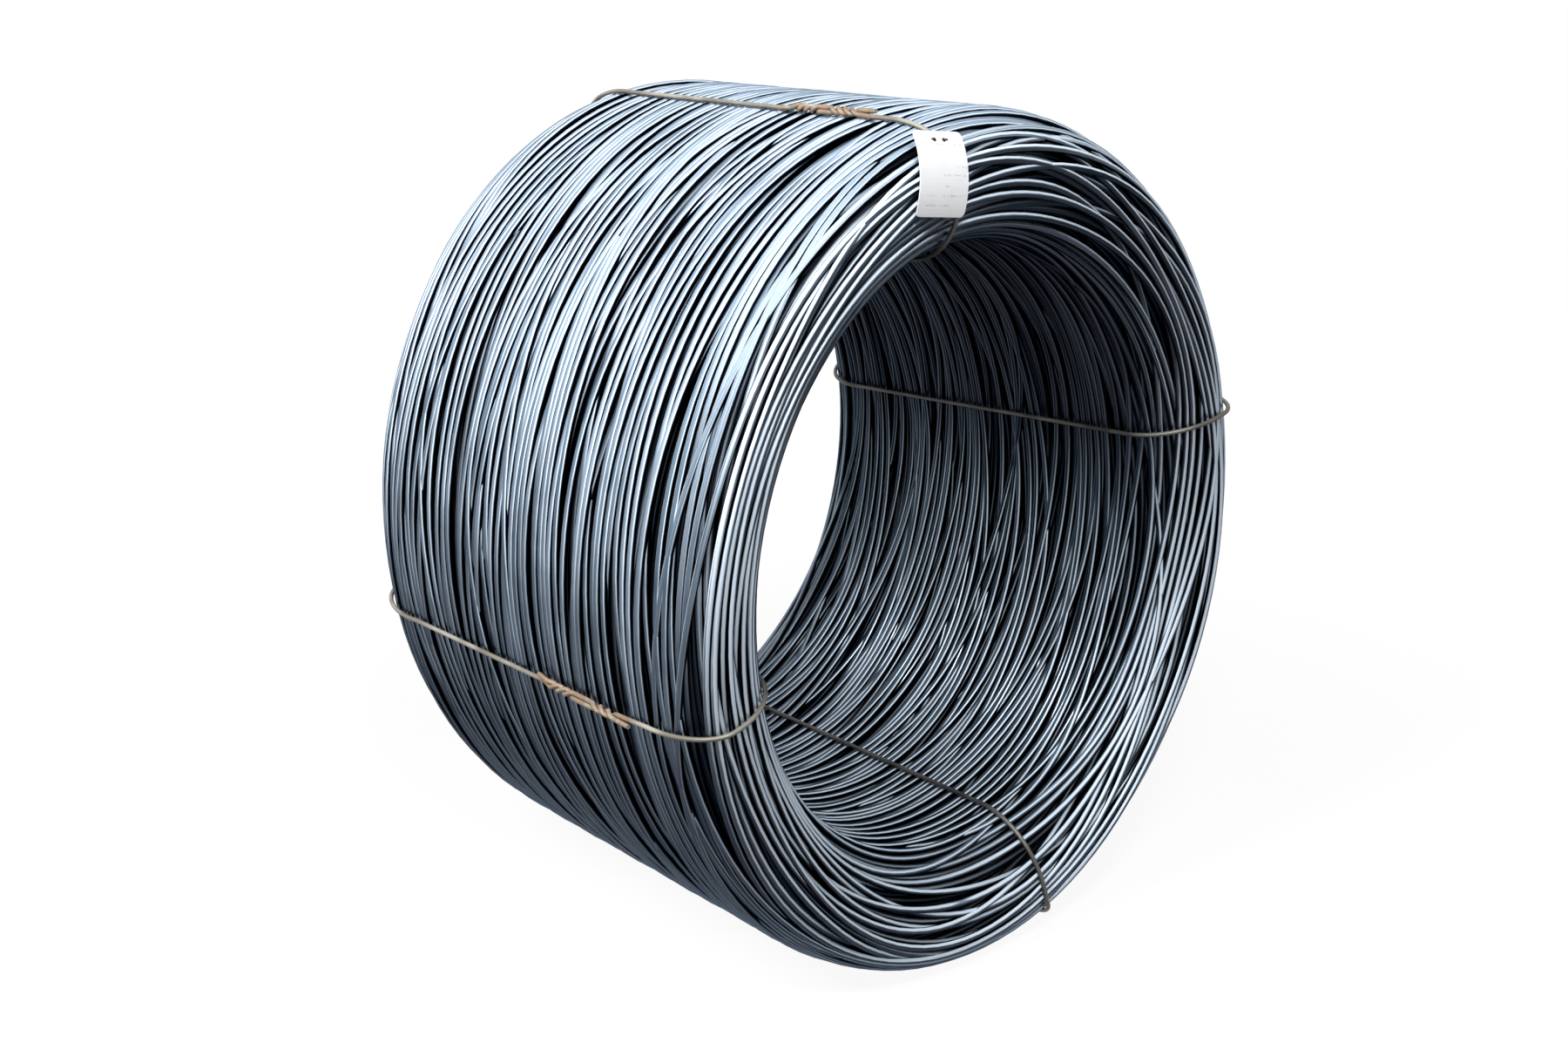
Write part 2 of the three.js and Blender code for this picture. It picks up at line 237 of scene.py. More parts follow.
def lay_floor():
    mesh = bpy.data.meshes.new("floor")
    r = FLOOR_REACH
    mesh.from_pydata([(-r, -r, 0), (r, -r, 0), (r, r, 0), (-r, r, 0)], [], [(0, 1, 2, 3)])
    floor = new_object("floor", mesh)
    material = bpy.data.materials.new("plain_floor")
    material.use_nodes = True
    tree = material.node_tree
    tree.nodes.clear()
    output, matt, glow, both, spot, far = add_nodes(
        tree, "ShaderNodeOutputMaterial", "ShaderNodeBsdfDiffuse", "ShaderNodeEmission",
        "ShaderNodeAddShader", "ShaderNodeTexCoord", "ShaderNodeVectorMath",
    )
    far.operation = "LENGTH"
    feed(tree, matt.inputs["Color"], [FLOOR_COLOR] * 3)
    rise = step_between(tree, far.outputs["Value"], *GLOW_REACH, *FLOOR_GLOW)
    level = product(tree, seen_white(tree), rise)
    join(tree, (spot.outputs["Object"], far.inputs[0]), (level, glow.inputs["Strength"]),
         (matt.outputs[0], both.inputs[0]), (glow.outputs[0], both.inputs[1]),
         (both.outputs[0], output.inputs[0]))
    mesh.materials.append(material)


light_the_scene()
lay_floor()

# ------------------------------------------------------------------ the coil's wall in section


def smooth(share):
    share = np.clip(share, 0, 1)
    return share * share * (3 - 2 * share)


def oval_reach(angle):
    """Where unit radius lies at an angle round the oval: its direction, and how far out"""
    x, z = NARROW * np.sin(angle), TALL * np.cos(angle)
    turned = np.stack([
        x * math.cos(OVAL_LEAN) + z * math.sin(OVAL_LEAN),
        np.zeros_like(x),
        z * math.cos(OVAL_LEAN) - x * math.sin(OVAL_LEAN),
    ], axis=-1)
    stretch = np.linalg.norm(turned, axis=-1)
    return turned / stretch[..., None], stretch


def facet_share(angle):
    """Radius of the faceted solid over that of the true ring"""
    facet = 2 * math.pi / RING_FACETS
    return math.cos(facet / 2) / math.cos(angle % facet - facet / 2)


def section_at(degrees):
    """The cut through the wall at an angle from the top: where it is, and its own sizes"""
    angle = math.radians(degrees) - OVAL_LEAN
    out, stretch = oval_reach(np.array(angle))
    half = TIE_DIAMETER / 2 / OUTER_RADIUS
    shares = [facet_share(angle + turn) for turn in (-half, 0, half)]
    return dict(
        out=out,
        side=np.cross(AXIS, out),
        outside=OUTER_RADIUS * stretch * max(shares),
        bore=BORE_RADIUS * stretch * min(shares),
        outer_round=CROWN_INSET * stretch,
    )


def place(section, radius, along, aside=0.0):
    return MIDDLE + section["out"] * radius + AXIS * along + section["side"] * aside


# ------------------------------------------------------------------ the rod, wound and pressed

SEED = 7
SLICES = 108  # stations of the rod in each turn
LAYERS = 3  # layers of turns that are modelled, from the inmost out
TOP_DEPTH = 0.52  # middle of the top layer below the surface, in rods
LAYER_STEP = 0.92
LAYER_FILL = 0.88  # of a layer, by its turns
TURN_SPACING = ROD_DIAMETER / LAYER_FILL
SURFACE_SHARE = 0.9967  # keeps the turns under the ties, which lie on the faceted solid
TURNS_TO_CLIMB = 1.5  # in which the rod climbs from one layer to the next
CLUMP_DRIFT = 0.013  # how far groups of turns drift aside together
LONE_DRIFT = 0.018  # and each turn by itself
LONE_RISE = 0.0035
DRIFT_CYCLES = (0.5, 3.5)  # of the drift, in each turn
STIFF_CYCLES = 7.0  # the rod is too stiff to bend more often than this in a turn
STIFF_ORDER = 4
PRESS_ROUNDS = 160
PAIRING_EVERY = 10
PRESS_STEP = 0.6
PAIRING_REACH = 1.7  # in rods
DEEP_PULL = 0.3  # share by which turns that sink too deep are pulled back out
OUTLINE_POINTS = 500  # in each quarter of the section's outline
GRID_SHIFT, GRID_ROW = 1.0, 1 << 10  # a grid over the section, for finding neighbours
TINY = 1e-9


def wall_outline(points):
    """The section's outline from the back crown over the bore and the front to the outside"""
    quarter = np.linspace(0, math.pi / 2, points, endpoint=False)
    run = np.linspace(STRAIGHT / 2, -STRAIGHT / 2, 2 * points, endpoint=False)
    rise, fall = np.sin(quarter), np.cos(quarter)
    end = STRAIGHT / 2
    return np.concatenate([
        np.stack([CREST_RADIUS - INNER_ROUND * rise, end + SHOULDER_DEPTH * fall], 1),
        np.stack([np.full_like(run, BORE_RADIUS), run], 1),
        np.stack([CREST_RADIUS - INNER_ROUND * fall, -end - SHOULDER_DEPTH * rise], 1),
        np.stack([CREST_RADIUS + CROWN_INSET * rise, -end - SHOULDER_DEPTH * fall], 1),
        np.stack([np.full_like(run, OUTER_RADIUS), -run], 1),
        np.stack([CREST_RADIUS + CROWN_INSET * fall, end + SHOULDER_DEPTH * rise], 1),
    ])


def below_surface(spots, stretch):
    """How deep spots of the section lie under the wall's surface, and the way out of it"""
    radius, along = spots[:, 0] / stretch, spots[:, 1]
    past = np.abs(along) - STRAIGHT / 2
    outside = radius > CREST_RADIUS
    rounding = np.where(outside, OUTER_RADIUS * SURFACE_SHARE - CREST_RADIUS, INNER_ROUND)
    u, v = (radius - CREST_RADIUS) / rounding, np.maximum(past, 0) / SHOULDER_DEPTH
    far = np.sqrt(u * u + v * v) + TINY
    way = np.stack([u / rounding / far / stretch, v / SHOULDER_DEPTH / far * np.sign(along)], 1)
    steep = np.linalg.norm(way, axis=1) + TINY
    flat = past <= 0
    depth = np.where(flat, (1 - np.abs(u)) * rounding * stretch, (1 - far) / steep)
    straight_out = np.stack([np.where(outside, 1.0, -1.0), np.zeros_like(u)], 1)
    return depth, np.where(flat[:, None], straight_out, way / steep[:, None])


def drift_along(rng, turns, parts=40):
    """A slow wander along the whole rod, about 1 on the average"""
    at = np.arange(turns * SLICES) / SLICES
    cycles = np.round(rng.uniform(*DRIFT_CYCLES, parts) * turns) / turns
    size = 1 / np.maximum(cycles, 1)
    start = rng.uniform(0, 2 * math.pi, parts)
    waves = size[:, None] * np.cos(2 * math.pi * cycles[:, None] * at + start[:, None])
    return waves.sum(0) / np.sqrt((size * size).sum() / 2)


def drift_in_clumps(rng, angle, share, around=4, across=24, parts=60):
    """A wander that neighbouring turns share"""
    total, power = np.zeros_like(angle), 0.0
    for _ in range(parts):
        p, q = rng.integers(1, around + 1), rng.integers(-across, across + 1)
        total += np.cos(p * angle + 2 * math.pi * (q * share + rng.uniform())) / p
        power += 0.5 / p**2
    return total / math.sqrt(power)


def loose_turns():
    """The rod before it is pressed: radius and place along the axis of each station"""
    rng = np.random.default_rng(SEED)
    spots, layer_starts, count = [], [0], 0
    outline = wall_outline(OUTLINE_POINTS)
    under, out = below_surface(outline, np.ones(len(outline)))
    surface = outline + out * under[:, None]
    for layer in range(LAYERS - 1, -1, -1):
        depth = ROD_DIAMETER * (TOP_DEPTH + LAYER_STEP * layer)
        path = surface - out * depth
        path, ways = np.vstack([path, path[:1]]), np.vstack([out, out[:1]])
        run = np.r_[0, np.cumsum(np.linalg.norm(np.diff(path, axis=0), axis=1))]
        turns = int(run[-1] / TURN_SPACING)
        share = np.arange(turns * SLICES) / (turns * SLICES)
        angle = 2 * math.pi * (np.arange(turns * SLICES) % SLICES) / SLICES
        aside = CLUMP_DRIFT * drift_in_clumps(rng, angle, share)
        aside += LONE_DRIFT * drift_along(rng, turns)
        at = (share * run[-1] + aside) % run[-1]
        climb = np.clip(1 - np.arange(turns * SLICES) / (TURNS_TO_CLIMB * SLICES), 0, 1)
        sunk = LONE_RISE * drift_along(rng, turns)
        if layer < LAYERS - 1:
            sunk += climb * LAYER_STEP * ROD_DIAMETER
        way = np.stack([np.interp(at, run, ways[:, i]) for i in (0, 1)], 1)
        spot = np.stack([np.interp(at, run, path[:, i]) for i in (0, 1)], 1)
        spots.append(spot - way * sunk[:, None])
        count += turns
        layer_starts.append(count)
    return np.concatenate(spots), layer_starts


def near_pairs(spots, slices, reach):
    """Pairs of stations in the same slice of the coil that lie within reach of each other"""
    across, along = (
        np.floor((spots[:, i] + GRID_SHIFT) / reach).astype(np.int64) for i in (0, 1)
    )
    key = (slices * GRID_ROW + across) * GRID_ROW + along
    order = np.argsort(key, kind="stable")
    ranked, found = key[order], []
    for dx, dy in ((0, 0), (0, 1), (1, -1), (1, 0), (1, 1)):
        wanted = ranked + dx * GRID_ROW + dy
        first = np.searchsorted(ranked, wanted, "left")
        many = np.searchsorted(ranked, wanted, "right") - first
        for k in range(int(many.max())):
            one = np.nonzero(many > k)[0]
            other = first[one] + k
            if dx == dy == 0:
                one, other = one[other > one], other[other > one]
            a, b = order[one], order[other]
            close = ((spots[a] - spots[b]) ** 2).sum(1) < reach * reach
            found.append(np.stack([a[close], b[close]]))
    return np.concatenate(found, axis=1)


def press_together(loose, stretch, lowest):
    """Turns push each other apart, stay inside the wall and above the floor, and stay smooth"""
    slices = np.arange(len(loose)) % SLICES
    spots, total = loose.copy(), len(loose)
    half = ROD_DIAMETER / 2
    deepest = ROD_DIAMETER * (TOP_DEPTH + LAYER_STEP * (LAYERS - 1)) + half
    cycles = np.fft.rfftfreq(total, 1 / SLICES)
    keep = 1 / (1 + (cycles / STIFF_CYCLES) ** STIFF_ORDER)
    for press in range(PRESS_ROUNDS):
        if press % PAIRING_EVERY == 0:
            a, b = near_pairs(spots, slices, PAIRING_REACH * ROD_DIAMETER)
        apart = spots[a] - spots[b]
        distance = np.linalg.norm(apart, axis=1) + TINY
        overlap = np.maximum(ROD_DIAMETER - distance, 0)
        push = apart * (overlap / distance)[:, None] * PRESS_STEP
        move = np.stack([
            np.bincount(a, push[:, i], total) - np.bincount(b, push[:, i], total) for i in (0, 1)
        ], 1)
        touching = np.bincount(a, overlap > 0, total) + np.bincount(b, overlap > 0, total)
        spots += move / np.maximum(touching, 1)[:, None]
        depth, out = below_surface(spots, stretch)
        spots -= out * np.maximum(half - depth, 0)[:, None]
        spots += out * np.maximum(depth - deepest, 0)[:, None] * DEEP_PULL
        spots[:, 0] = np.minimum(spots[:, 0], lowest)
        given = np.fft.rfft(spots - loose, axis=0) * keep[:, None]
        spots = loose + np.fft.irfft(given, total, axis=0)
    return spots


def wind_the_rod():
    """All stations of the rod in space, the way out and the run of the rod at each, and where
    its layers start"""
    loose, layer_starts = loose_turns()
    angle = math.pi + 2 * math.pi * (np.arange(len(loose)) % SLICES) / SLICES
    out, stretch = oval_reach(angle)
    loose[:, 0] *= stretch
    lowest = (AXIS_HEIGHT - ROD_DIAMETER / 2) / np.maximum(-out[:, 2], TINY)
    spots = press_together(loose, stretch, lowest)
    spots[:, 0] = np.minimum(spots[:, 0], lowest)
    points = MIDDLE + out * spots[:, :1] + AXIS * spots[:, 1:]
    run = np.r_[0, np.cumsum(np.linalg.norm(np.diff(points, axis=0), axis=1))]
    return points, out, run, layer_starts


OPEN_SIDE = np.array([-0.3, -0.6, 0.74])  # the side of each turn that gets a painted highlight: up, to the front and to the left
BACK_TURN = 0.7  # on the back end it is the back side, from where the wall faces this far back
BORE_START, BORE_FADE = 0.7, 3.3  # where round the wall's section the bore begins
# How bright the painted highlight on that side is on a crown, and how much more where the wall
# faces up; the same in the bore, facing up and facing down, where the bore's painted shade dims
# it; and how fast it fades on turns that run towards that side
CROWN_BRIGHT, CROWN_UP = 1.35, 0.15
BORE_BRIGHT, BORE_UP, BORE_UP_POWER = 0.28, 0.9, 0.6
BORE_DARKEST, BORE_DOWN = 0.06, 0.22
RUN_FADE, RUN_FADE_LESS = 2.2, 1.4


def mark_exposure(piece):
    """Stores at each corner how deep its turn lies, in rods, how far it faces out of the wall,
    on which side of the wall it is, how near it is to the turn's side with a painted highlight,
    and how bright that painted highlight is; the finish paints shade and highlights from these"""
    mesh = piece.data
    spots, normals = (np.empty(3 * len(mesh.vertices), np.float32) for _ in range(2))
    mesh.vertices.foreach_get("co", spots)
    mesh.vertices.foreach_get("normal", normals)
    spots, normals = spots.reshape(-1, 3), normals.reshape(-1, 3)
    x, along, z = (spots - normals * ROD_SHOWN / 2 - MIDDLE).T
    c, s = math.cos(OVAL_LEAN), math.sin(OVAL_LEAN)
    angle = np.arctan2((x * c - z * s) / NARROW, (x * s + z * c) / TALL)
    out, stretch = oval_reach(angle)
    depth, way = below_surface(np.stack([np.hypot(x, z), along], 1), stretch)
    facing = (normals * (out * way[:, :1] + AXIS * way[:, 1:])).sum(1)
    along_turn = np.cross(AXIS, out)
    from_back = smooth(way[:, 1] / BACK_TURN)[:, None]
    open_side = OPEN_SIDE * (1 - 2 * from_back * AXIS)
    open_side = open_side - along_turn * (along_turn * open_side).sum(1)[:, None]
    share = np.linalg.norm(open_side, axis=1)
    lit = (normals * open_side).sum(1) / share
    rise = way[:, 0] * out[:, 2]
    in_bore = np.clip(BORE_FADE * (-way[:, 0] - BORE_START), 0, 1)
    on_crown = CROWN_BRIGHT + CROWN_UP * rise
    facing_up = BORE_BRIGHT + BORE_UP * np.abs(rise)**BORE_UP_POWER
    in_bore_open = np.where(rise > 0, facing_up, BORE_DARKEST + BORE_DOWN * (1 + rise))
    openness = on_crown + (in_bore_open - on_crown) * in_bore
    openness = np.minimum(share**(RUN_FADE - RUN_FADE_LESS * in_bore) * openness, 1)
    for name, values in (
        ("bury", depth / ROD_DIAMETER - 0.5), ("facing", facing), ("outer", way[:, 0]),
        ("lit", lit), ("open", openness),
    ):
        layer = mesh.attributes.new(name, "FLOAT", "POINT")
        layer.data.foreach_set("value", values.astype(np.float32))


# ------------------------------------------------------------------ wires swept along a path


def sweep_tree():
    """Sweeps a round wire along the chain of edges it is given"""
    tree = bpy.data.node_groups.new("sweep_round_wire", "GeometryNodeTree")
    face = tree.interface
    face.new_socket("Geometry", in_out="INPUT", socket_type="NodeSocketGeometry")
    for name, kind in (("Diameter", "Float"), ("Sides", "Int"), ("Finish", "Material")):
        face.new_socket(name, in_out="INPUT", socket_type="NodeSocket" + kind)
    face.new_socket("Geometry", in_out="OUTPUT", socket_type="NodeSocketGeometry")
    given, path, lean, turned, half, ring, tube, shade, real, finish, made = add_nodes(
        tree, "NodeGroupInput", "GeometryNodeMeshToCurve", "GeometryNodeInputNamedAttribute",
        "GeometryNodeSetCurveNormal", "ShaderNodeMath",
        "GeometryNodeCurvePrimitiveCircle", "GeometryNodeCurveToMesh",
        "GeometryNodeSetShadeSmooth", "GeometryNodeRealizeInstances",
        "GeometryNodeSetMaterial", "NodeGroupOutput",
    )
    lean.data_type = "FLOAT_VECTOR"
    lean.inputs["Name"].default_value = "lean"
    turned.mode = "FREE"
    half.operation = "MULTIPLY"
    half.inputs[1].default_value = 0.5
    tube.inputs["Fill Caps"].default_value = True
    join(
        tree,
        (given.outputs["Geometry"], path.inputs["Mesh"]),
        (given.outputs["Diameter"], half.inputs[0]),
        (half.outputs[0], ring.inputs["Radius"]),
        (given.outputs["Sides"], ring.inputs["Resolution"]),
        (path.outputs["Curve"], turned.inputs["Curve"]),
        (lean.outputs["Attribute"], turned.inputs["Normal"]),
        (turned.outputs["Curve"], tube.inputs["Curve"]),
        (ring.outputs["Curve"], tube.inputs["Profile Curve"]),
        (tube.outputs["Mesh"], shade.inputs["Geometry"]),
        (shade.outputs["Geometry"], real.inputs["Geometry"]),
        (real.outputs["Geometry"], finish.inputs["Geometry"]),
        (given.outputs["Finish"], finish.inputs["Material"]),
        (finish.outputs["Geometry"], made.inputs["Geometry"]),
    )
    return tree


def set_inputs(modifier, **values):
    for item in modifier.node_group.interface.items_tree:
        if item.item_type == "SOCKET" and item.in_out == "INPUT" and item.name in values:
            modifier[item.identifier] = values[item.name]


def sweep(name, path, lean, diameter, sides, finish, values):
    """A round wire along a path, with values at its stations; a corner of the wire's outline
    keeps to the side that it leans to"""
    mesh = bpy.data.meshes.new(name + "_path")
    mesh.vertices.add(len(path))
    mesh.vertices.foreach_set("co", path.astype(np.float32).ravel())
    first = np.arange(len(path) - 1, dtype=np.int32)
    mesh.edges.add(len(first))
    mesh.edges.foreach_set("vertices", np.stack([first, first + 1], 1).ravel())
    for key, data in values.items():
        layer = mesh.attributes.new(key, "FLOAT", "POINT")
        layer.data.foreach_set("value", np.asarray(data, dtype=np.float32))
    layer = mesh.attributes.new("lean", "FLOAT_VECTOR", "POINT")
    layer.data.foreach_set("vector", lean.astype(np.float32).ravel())
    mesh.update()
    carrier = new_object(name + "_path", mesh)
    modifier = carrier.modifiers.new("sweep", "NODES")
    modifier.node_group = SWEEP
    set_inputs(modifier, Diameter=diameter, Sides=sides, Finish=finish)
    seen = carrier.evaluated_get(bpy.context.evaluated_depsgraph_get())
    solid = bpy.data.meshes.new_from_object(seen)
    solid.name = name
    piece = new_object(name, solid)
    bpy.data.objects.remove(carrier)
    return piece


SWEEP = sweep_tree()

# ------------------------------------------------------------------ finishes

MIX_INPUTS, MIX_OUTPUT = (0, 6, 7), 2  # a Mix node's sockets when it blends colours


def new_group(name, inputs, outputs):
    """A shader group, what goes into it and what comes out"""
    tree = bpy.data.node_groups.new(name, "ShaderNodeTree")
    for in_out, sockets in (("INPUT", inputs), ("OUTPUT", outputs)):
        for label, kind in sockets.items():
            tree.interface.new_socket(label, in_out=in_out, socket_type="NodeSocket" + kind)
    given, made = add_nodes(tree, "NodeGroupInput", "NodeGroupOutput")
    return tree, given.outputs, made.inputs


def noise(tree, source, scale, detail, dimensions="3D"):
    node = tree.nodes.new("ShaderNodeTexNoise")
    node.noise_dimensions = dimensions
    feed_named(tree, node.inputs, Scale=scale, Detail=detail)
    feed(tree, node.inputs["W" if dimensions == "1D" else "Vector"], source)
    return node.outputs["Fac"]


def blend(tree, factor, one, other):
    """One colour where the factor is 0, and the other where it is 1"""
    node = tree.nodes.new("ShaderNodeMix")
    node.data_type = "RGBA"
    for index, value in zip(MIX_INPUTS, (factor, one, other)):
        feed(tree, node.inputs[index], value)
    return node.outputs[MIX_OUTPUT]


STREAK_SHARE, FLECK_SHARE = 0.93, 0.07  # of the tone
TONE_SPREAD = (0.36, 0.64)
ROD_STREAKS, TIE_STREAKS = 1.1, 9.0  # in a metre of wire
FLECK_SCALE, CLIP_FLECK_SCALE = 160.0, 600.0
RUST_EDGE = 0.16  # how soft a patch's edge is
RUST_SHADES = (0.3, 0.7)
# How far a surface faces up: where dust and a painted sky reflection start and cover it, and
# where painted shade starts and is whole
DUST_AND_SHEEN_FACING = (-0.38, 0.75)
DOWN_SHADE_RANGE = (0.3, -0.5)
DUST_PATCH_SCALE = 9.0
DUST_PATCHES = (0.2, 0.6, 0.6, 1.0)


def mottle_group():
    """Patches of scale: tones that change slowly along a wire and quickly over its skin"""
    tree, given, made = new_group(
        "mottled_scale",
        {"Place": "Vector", "Run": "Float", "Long Scale": "Float", "Fine Scale": "Float"},
        {"Tone": "Float", "Fleck": "Float"},
    )
    streak = noise(tree, product(tree, given["Run"], given["Long Scale"]), 1.0, detail=2.0,
                   dimensions="1D")
    fine = noise(tree, given["Place"], given["Fine Scale"], detail=4.0)
    tone = calc(tree, "ADD", product(tree, streak, STREAK_SHARE), product(tree, fine, FLECK_SHARE))
    join(tree, (step_between(tree, tone, *TONE_SPREAD), made["Tone"]), (fine, made["Fleck"]))
    return tree


def rust_group():
    """Where rust has taken hold: patches, fewer and smaller where there is less of it"""
    tree, given, made = new_group(
        "rust_patches",
        {"Place": "Vector", "Amount": "Float", "Patch Scale": "Float", "Deep": "Color",
         "Light": "Color"},
        {"Mask": "Float", "Color": "Color"},
    )
    patch = noise(tree, given["Place"], given["Patch Scale"], detail=5.0)
    edge = calc(tree, "SUBTRACT", 1.0, given["Amount"])
    mask = step_between(tree, patch, edge, calc(tree, "ADD", edge, RUST_EDGE))
    shade = step_between(tree, patch, *RUST_SHADES)
    color = blend(tree, shade, given["Deep"], given["Light"])
    join(tree, (mask, made["Mask"]), (color, made["Color"]))
    return tree


def dust_and_sheen_group():
    """Pale dust and a painted sky reflection in patches on what faces up; what faces down, for
    painted shade
    """
    tree, given, made = new_group(
        "dust_and_sky_sheen", {"Place": "Vector"}, {"Mask": "Float", "Facing Down": "Float"},
    )
    facing, split = add_nodes(tree, "ShaderNodeNewGeometry", "ShaderNodeSeparateXYZ")
    up = split.outputs["Z"]
    patches = noise(tree, given["Place"], DUST_PATCH_SCALE, detail=4.0)
    mask = product(tree, step_between(tree, up, *DUST_AND_SHEEN_FACING),
                   step_between(tree, patches, *DUST_PATCHES))
    # what faces down, which the finishes darken as painted shade
    facing_down = step_between(tree, up, *DOWN_SHADE_RANGE)
    join(tree, (facing.outputs["Normal"], split.inputs[0]), (mask, made["Mask"]),
         (facing_down, made["Facing Down"]))
    return tree


MOTTLE, RUST, DUST_AND_SHEEN = mottle_group(), rust_group(), dust_and_sheen_group()


def use_group(tree, group, **values):
    node = tree.nodes.new("ShaderNodeGroup")
    node.node_tree = group
    feed_named(tree, node.inputs, **values)
    return node.outputs


def new_finish(name, **values):
    """A material, its tree and its shader's sockets, and the place on the piece"""
    material = bpy.data.materials.new(name)
    material.use_nodes = True
    tree = material.node_tree
    skin = tree.nodes["Principled BSDF"].inputs
    feed_named(tree, skin, **values)
    spot = tree.nodes.new("ShaderNodeTexCoord").outputs["Object"]
    return material, tree, skin, spot


def attribute(tree, name):
    node = tree.nodes.new("ShaderNodeAttribute")
    node.attribute_name = name
    return node.outputs["Fac"]


def bumps(tree, height, strength, distance):
    node = tree.nodes.new("ShaderNodeBump")
    feed_named(tree, node.inputs, Strength=strength, Distance=distance, Height=height)
    return node.outputs["Normal"]


SPOT_FADE = (1.0, 0.6)  # of its size, over which a spot comes in


def near(tree, spot, centre, size):
    """1 at a place on the coil, and 0 farther from it than its size"""
    away, scaled, far = add_nodes(tree, *["ShaderNodeVectorMath"] * 3)
    away.operation, scaled.operation, far.operation = "SUBTRACT", "DIVIDE", "LENGTH"
    away.inputs[1].default_value = centre
    scaled.inputs[1].default_value = size
    join(tree, (spot, away.inputs[0]), (away.outputs[0], scaled.inputs[0]),
         (scaled.outputs[0], far.inputs[0]))
    return step_between(tree, far.outputs["Value"], *SPOT_FADE)


# Tones of the rod, from dark to pale
SCALE_TONES = ((0.012, 0.022, 0.033), (0.044, 0.065, 0.090))
SHADED_TONES = ((0.011, 0.012, 0.016), (0.037, 0.040, 0.052))  # painted shade on crowns and high in the bore
LOW_SHADE_TONES = ((0.011, 0.011, 0.014), (0.037, 0.038, 0.048))  # painted shade low on the outside, where the turns face down
# pale dust and a painted reflection of the sky, on what faces up
DUST_AND_SHEEN_TONES = ((0.20, 0.28, 0.375), (0.445, 0.54, 0.665))
# painted highlights on the turns
HIGHLIGHT_COLOR = (0.76, 0.88, 1.0)
# painted shade between the turns and on deeper ones
GAP_SHADE_COLOR = (0.003, 0.005, 0.010)
# Where a look starts and is whole round the wall's section, from 1 outside over 0 on a crown to
# -1 in the bore; the last two of four values are its shares there
ON_CROWN = (0.95, 0.6)
IN_BORE = (-0.4, -0.8)
LOW_OUTSIDE = (0.3, 0.9)
DUST_AND_SHEEN_OUTSIDE = (0.0, 0.95, 0.08, 1.0)
DUST_AND_SHEEN_IN_BORE = (-0.3, -0.9, 0.0, 0.12)
DUST_AND_SHEEN_ON_SLOPE = (0.2, -0.2, 0.0, 0.85)
SLOPE_TO_BORE = (-1.0, -0.85, 0.25, 1.0)
SHOULDER_HIGHLIGHT_OUTSIDE = (0.1, 0.6)
# How far a turn's skin faces out of the wall, from 1 on its top to 0 at its side
SHOULDER_START, SHOULDER_STOP = (0.46, 0.58), (0.82, 0.66)
# a faint painted highlight along the top of turns high in the bore
TOP_HIGHLIGHT = (0.90, 0.985, 0.0, 0.06)
# painted shade on the sides of each turn, towards its neighbours
TURN_SIDE = (0.55, 0.30)
SHOULDER_HIGHLIGHT_ON_SHEEN = (0.1, 0.5, 0.09, 1.0)  # how strong the painted shoulder highlights are, by the dust and painted sky reflection there
BRIGHT_EDGE = (0.0, 1.0, 0.84, 0.76)  # where the painted highlight starts, off the crown and on it
BRIGHT_SOFTNESS = 0.12
BURIED = (0.15, 1.2, 0.0, 0.95)  # painted shade on turns that lie deeper: rods below the surface
METAL_SHARE = (0.0, 1.0, 0.1, 1.0)  # from dust and painted sky reflection or painted highlight to bare
SCALE_ROUGHNESS = (0.0, 1.0, 0.28, 0.38)
DUST_ROUGHNESS = 0.22
RUST_SPOTS = ((0.5273, -0.3668, 0.4782), (0.5064, -0.4055, 0.4504))  # on the front rim
RUST_SPOT = (0.009, 0.012, 0.026)  # half the size of each
SPOT_AMOUNT, SPOT_COVER = 0.75, 0.75  # of their rust
SPOT_RUST = dict(Patch_Scale=90.0, Deep=(0.13, 0.08, 0.055), Light=(0.42, 0.30, 0.23))


